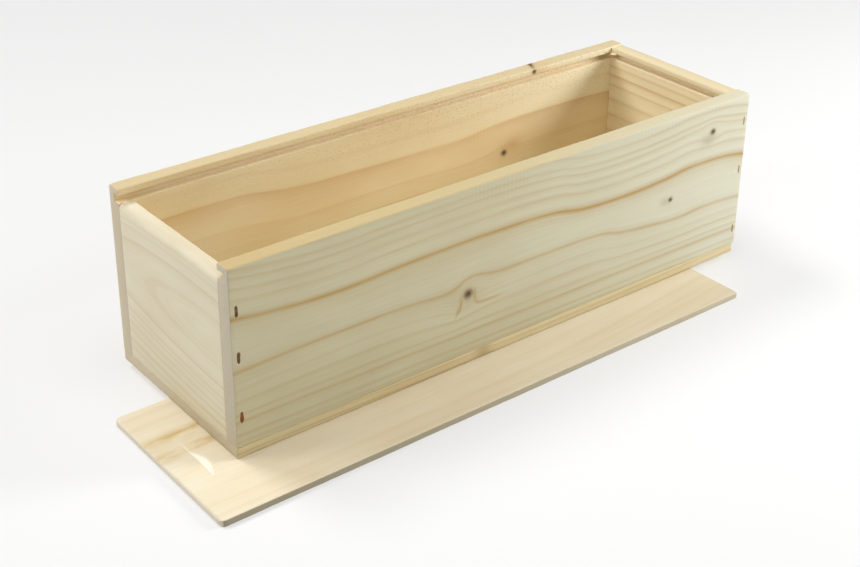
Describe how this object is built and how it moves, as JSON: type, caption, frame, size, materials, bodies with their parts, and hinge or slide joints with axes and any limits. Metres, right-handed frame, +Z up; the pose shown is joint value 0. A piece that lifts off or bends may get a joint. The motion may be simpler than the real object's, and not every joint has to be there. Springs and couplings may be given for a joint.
{
  "type": "sliding lid box mould",
  "caption": "Long open pine box used as a soap loaf mould, with a grooved rim and a thin sliding lid that lies under the box as a tray.",
  "frame": {"origin": "on the surface that the lid lies on, straight below the middle of the box", "axes": "+X along the box towards the high end, +Y towards the back side, +Z up"},
  "size_m": [0.37, 0.145, 0.1036],
  "materials": {
    "side_boards": "planed, unfinished spruce",
    "end_boards": "planed, unfinished spruce",
    "bottom_board": "planed, unfinished spruce",
    "lid_panel": "fine sanded, faint satin",
    "staples": "dull galvanised wire"
  },
  "bodies": {
    "box": {"front_side": "side_boards", "back_side": "side_boards", "low_end": "end_boards", "high_end": "end_boards", "bottom": "bottom_board", "front_low_staples": "staples", "front_high_staples": "staples", "back_low_staples": "staples", "back_high_staples": "staples", "bottom_front_staples": "staples", "bottom_back_staples": "staples", "bottom_low_staples": "staples", "bottom_high_staples": "staples"},
    "lid": {"lid": "lid_panel"}
  },
  "joints": [
    {"name": "lid_slide", "type": "slide", "parent": "box", "child": "lid", "axis": [-1, 0, 0], "range_m": [0, 0.335]}
  ]
}
